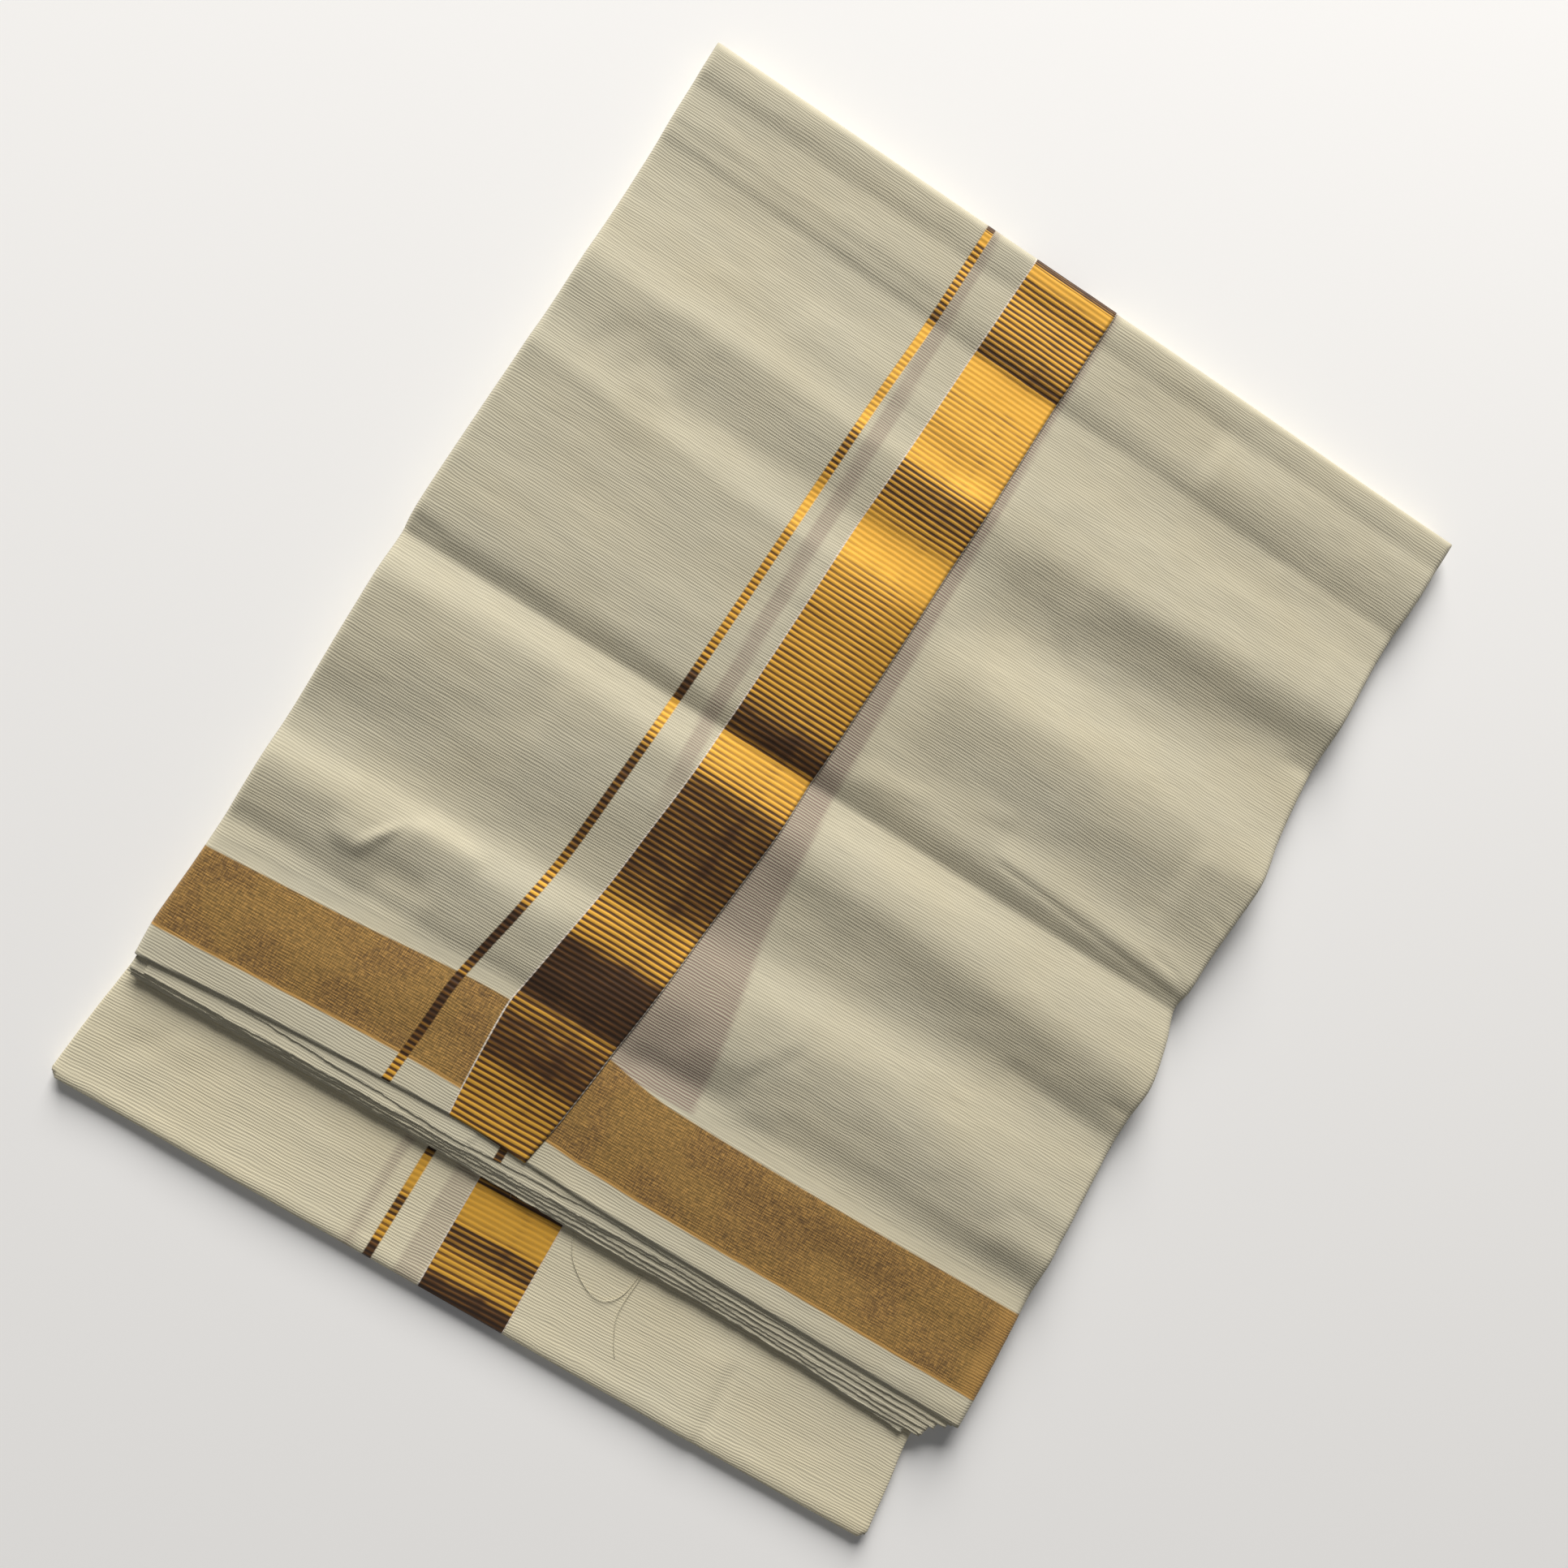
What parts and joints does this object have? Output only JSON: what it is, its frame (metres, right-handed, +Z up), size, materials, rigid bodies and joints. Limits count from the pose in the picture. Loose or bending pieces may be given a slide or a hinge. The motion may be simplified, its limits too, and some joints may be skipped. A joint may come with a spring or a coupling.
{
  "type": "folded dhoti cloth",
  "caption": "Cream cotton dhoti cloth folded into a flat rectangular pack, with a woven gold border across its top layer, raw ends and a lower fold that reaches out.",
  "frame": {"origin": "on the surface that the cloth rests on, under the middle of its box", "axes": "+X across the folded cloth from the left fold to the right fold, +Y along it from the lower fold to the top fold, +Z up"},
  "size_m": [0.4286, 0.552, 0.0161],
  "materials": {
    "bordered_cotton": "cream hand-loom cotton with a woven metallic gold border",
    "plain_cotton": "cream hand-loom cotton with a gold tissue cross band",
    "layered_cotton": "stacked cotton layers with raw ends",
    "lower_cotton": "cream hand-loom cotton with a woven metallic gold border"
  },
  "bodies": {
    "root": {"bordered_stretch": "bordered_cotton", "plain_stretch": "plain_cotton", "hidden_layers": "layered_cotton", "under_fold": "lower_cotton"}
  },
  "joints": []
}
